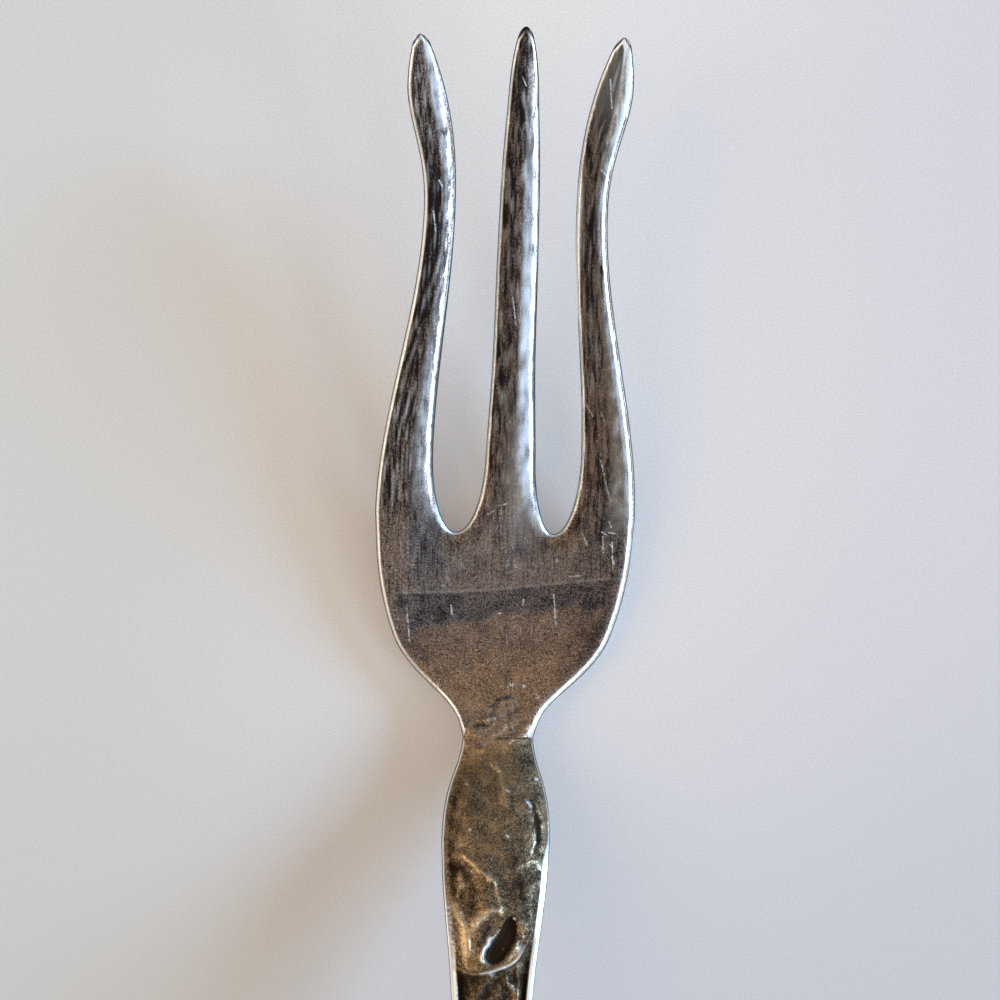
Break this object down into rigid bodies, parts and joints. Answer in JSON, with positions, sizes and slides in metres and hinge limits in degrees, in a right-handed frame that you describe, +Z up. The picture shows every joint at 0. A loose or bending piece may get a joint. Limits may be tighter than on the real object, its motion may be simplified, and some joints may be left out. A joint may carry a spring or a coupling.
{
  "type": "serving fork",
  "caption": "Three-tine serving fork with leaf-shaped outer tips, a forged head and a hollow, filled handle of two soldered shells.",
  "frame": {"origin": "middle of the fork's outline in plan, on the surface that it lies on", "axes": "+Y along the fork towards the tips, +Z up out of its front, +X to the right of its front"},
  "size_m": [0.0218, 0.165, 0.0138],
  "materials": {
    "silver_plate": "satin",
    "filling": "matte",
    "solder": "matte"
  },
  "bodies": {
    "root": {"tine_head": "silver_plate", "handle_front_shell": "silver_plate", "handle_back_shell": "silver_plate", "handle_filling": "filling", "neck_solder": "solder"}
  },
  "joints": []
}
